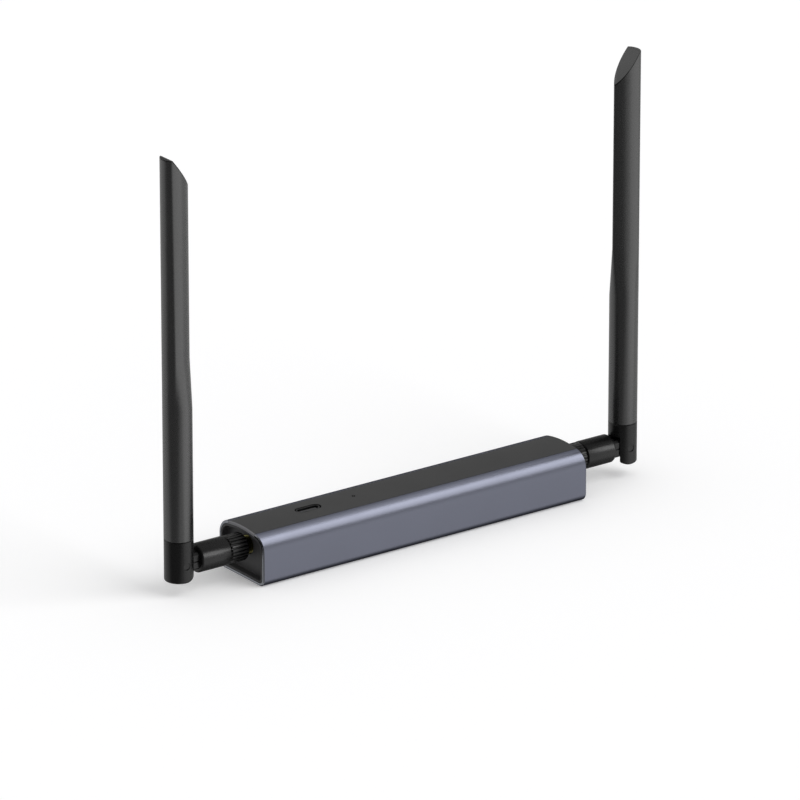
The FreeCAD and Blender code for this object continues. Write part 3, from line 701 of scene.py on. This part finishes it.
def paper_white_floor():
    """Pale floor that keeps the shadow, and lets reflections see mostly the studio's cards."""
    material = bpy.data.materials.new("paper_white_floor")
    material.use_nodes = True
    tree = material.node_tree
    shader = tree.nodes["Principled BSDF"]
    shader.inputs["Base Color"].default_value = (*FLOOR_COLOUR, 1.0)
    shader.inputs["Roughness"].default_value = FLOOR_ROUGHNESS
    shader.inputs["Specular IOR Level"].default_value = 0.0
    shader.inputs["Emission Color"].default_value = WHITE
    seen = ray_is(tree, "Is Camera Ray", "Is Glossy Ray", "Is Transmission Ray")
    tree.links.new(node_math(tree, "MULTIPLY", seen, FLOOR_LIFT), shader.inputs["Emission Strength"])
    clear_share = node_math(tree, "MULTIPLY", ray_is(tree, "Is Glossy Ray"), 1.0 - FLOOR_GLOSS_SHARE)
    clear = tree.nodes.new("ShaderNodeBsdfTransparent")
    mixed = tree.nodes.new("ShaderNodeMixShader")
    tree.links.new(clear_share, mixed.inputs["Fac"])
    tree.links.new(shader.outputs["BSDF"], mixed.inputs[1])
    tree.links.new(clear.outputs["BSDF"], mixed.inputs[2])
    tree.links.new(mixed.outputs["Shader"], tree.nodes["Material Output"].inputs["Surface"])
    return material


def lay_floor():
    shape = bmesh.new()
    bmesh.ops.create_grid(shape, x_segments=1, y_segments=1, size=FLOOR_SIZE / 2)
    mesh = bpy.data.meshes.new("floor")
    shape.to_mesh(mesh)
    shape.free()
    floor = bpy.data.objects.new("floor", mesh)
    bpy.context.scene.collection.objects.link(floor)
    mesh.materials.append(paper_white_floor())


def card_reflections(tree):
    """Level of the studio in reflections: its white, times each card's tone towards that card."""
    place = tree.nodes.new("ShaderNodeTexCoord").outputs["Generated"]
    level = GLOSS_LEVEL
    for direction, start, full, tone in CARDS:
        towards = tree.nodes.new("ShaderNodeVectorMath")
        towards.operation = "DOT_PRODUCT"
        towards.inputs[1].default_value = direction.normalized()
        tree.links.new(place, towards.inputs[0])
        card = node_range(tree, towards.outputs["Value"], start, full, 1.0, tone, "SMOOTHSTEP")
        level = node_math(tree, "MULTIPLY", card, level)
    return level


def hang_surround():
    """White studio round the object; reflections also see its cards."""
    world = bpy.data.worlds.new("studio")
    bpy.context.scene.world = world
    world.use_nodes = True
    tree = world.node_tree
    background = tree.nodes["Background"]
    background.inputs["Color"].default_value = WHITE
    indirect = node_mix(tree, ray_is(tree, "Is Glossy Ray"), AMBIENT, card_reflections(tree))
    straight = ray_is(tree, "Is Camera Ray", "Is Transmission Ray")
    tree.links.new(node_mix(tree, straight, indirect, 1.0), background.inputs["Strength"])


def hang_lamp(name, direction, strength, width_degrees, lit_pieces=None):
    """Distant lamp with a soft edge; reflections show it on the given pieces alone, if there are any."""
    lamp = bpy.data.lights.new(name, "SUN")
    lamp.energy = strength
    lamp.angle = math.radians(width_degrees)
    hung = bpy.data.objects.new(name, lamp)
    hung.rotation_mode = "QUATERNION"
    hung.rotation_quaternion = direction.to_track_quat("Z", "Y")
    hung.visible_glossy = lit_pieces is not None
    bpy.context.scene.collection.objects.link(hung)
    if lit_pieces:
        receivers = bpy.data.collections.new(name + "_receivers")
        for piece in lit_pieces:
            receivers.objects.link(piece)
        hung.light_linking.receiver_collection = receivers


def set_camera():
    lens = bpy.data.cameras.new("camera")
    lens.lens = CAMERA_LENS
    lens.sensor_width = CAMERA_SENSOR
    lens.clip_start = CAMERA_NEAR
    lens.clip_end = CAMERA_FAR
    camera = bpy.data.objects.new("camera", lens)
    camera.location = CAMERA_PLACE
    camera.rotation_mode = "QUATERNION"
    camera.rotation_quaternion = (CAMERA_TARGET - CAMERA_PLACE).to_track_quat("-Z", "Y")
    bpy.context.scene.collection.objects.link(camera)
    bpy.context.scene.camera = camera


bpy.context.scene.view_settings.view_transform = "Standard"
dress_frame_nodes()
softened = {node: softened_node(node) for node in sorted(frame["nodes"]) if piece_kind(node) in EDGE_ROUNDS}
sleeve_pieces = [softened["sleeve"]]
antenna_pieces = [piece for node, piece in softened.items() if piece_kind(node) in ANTENNA_KINDS]
for side in SIDES:
    threaded_jack(side)
    bending_cable(side)
usb_contact_pads()
lay_floor()
hang_surround()
hang_lamp("key", *KEY_LAMP)
hang_lamp("sleeve_glint", *SLEEVE_GLINT, sleeve_pieces)
hang_lamp("sleeve_sheen", *SLEEVE_SHEEN, sleeve_pieces)
hang_lamp("antenna_glint", *ANTENNA_GLINT, antenna_pieces)
set_camera()
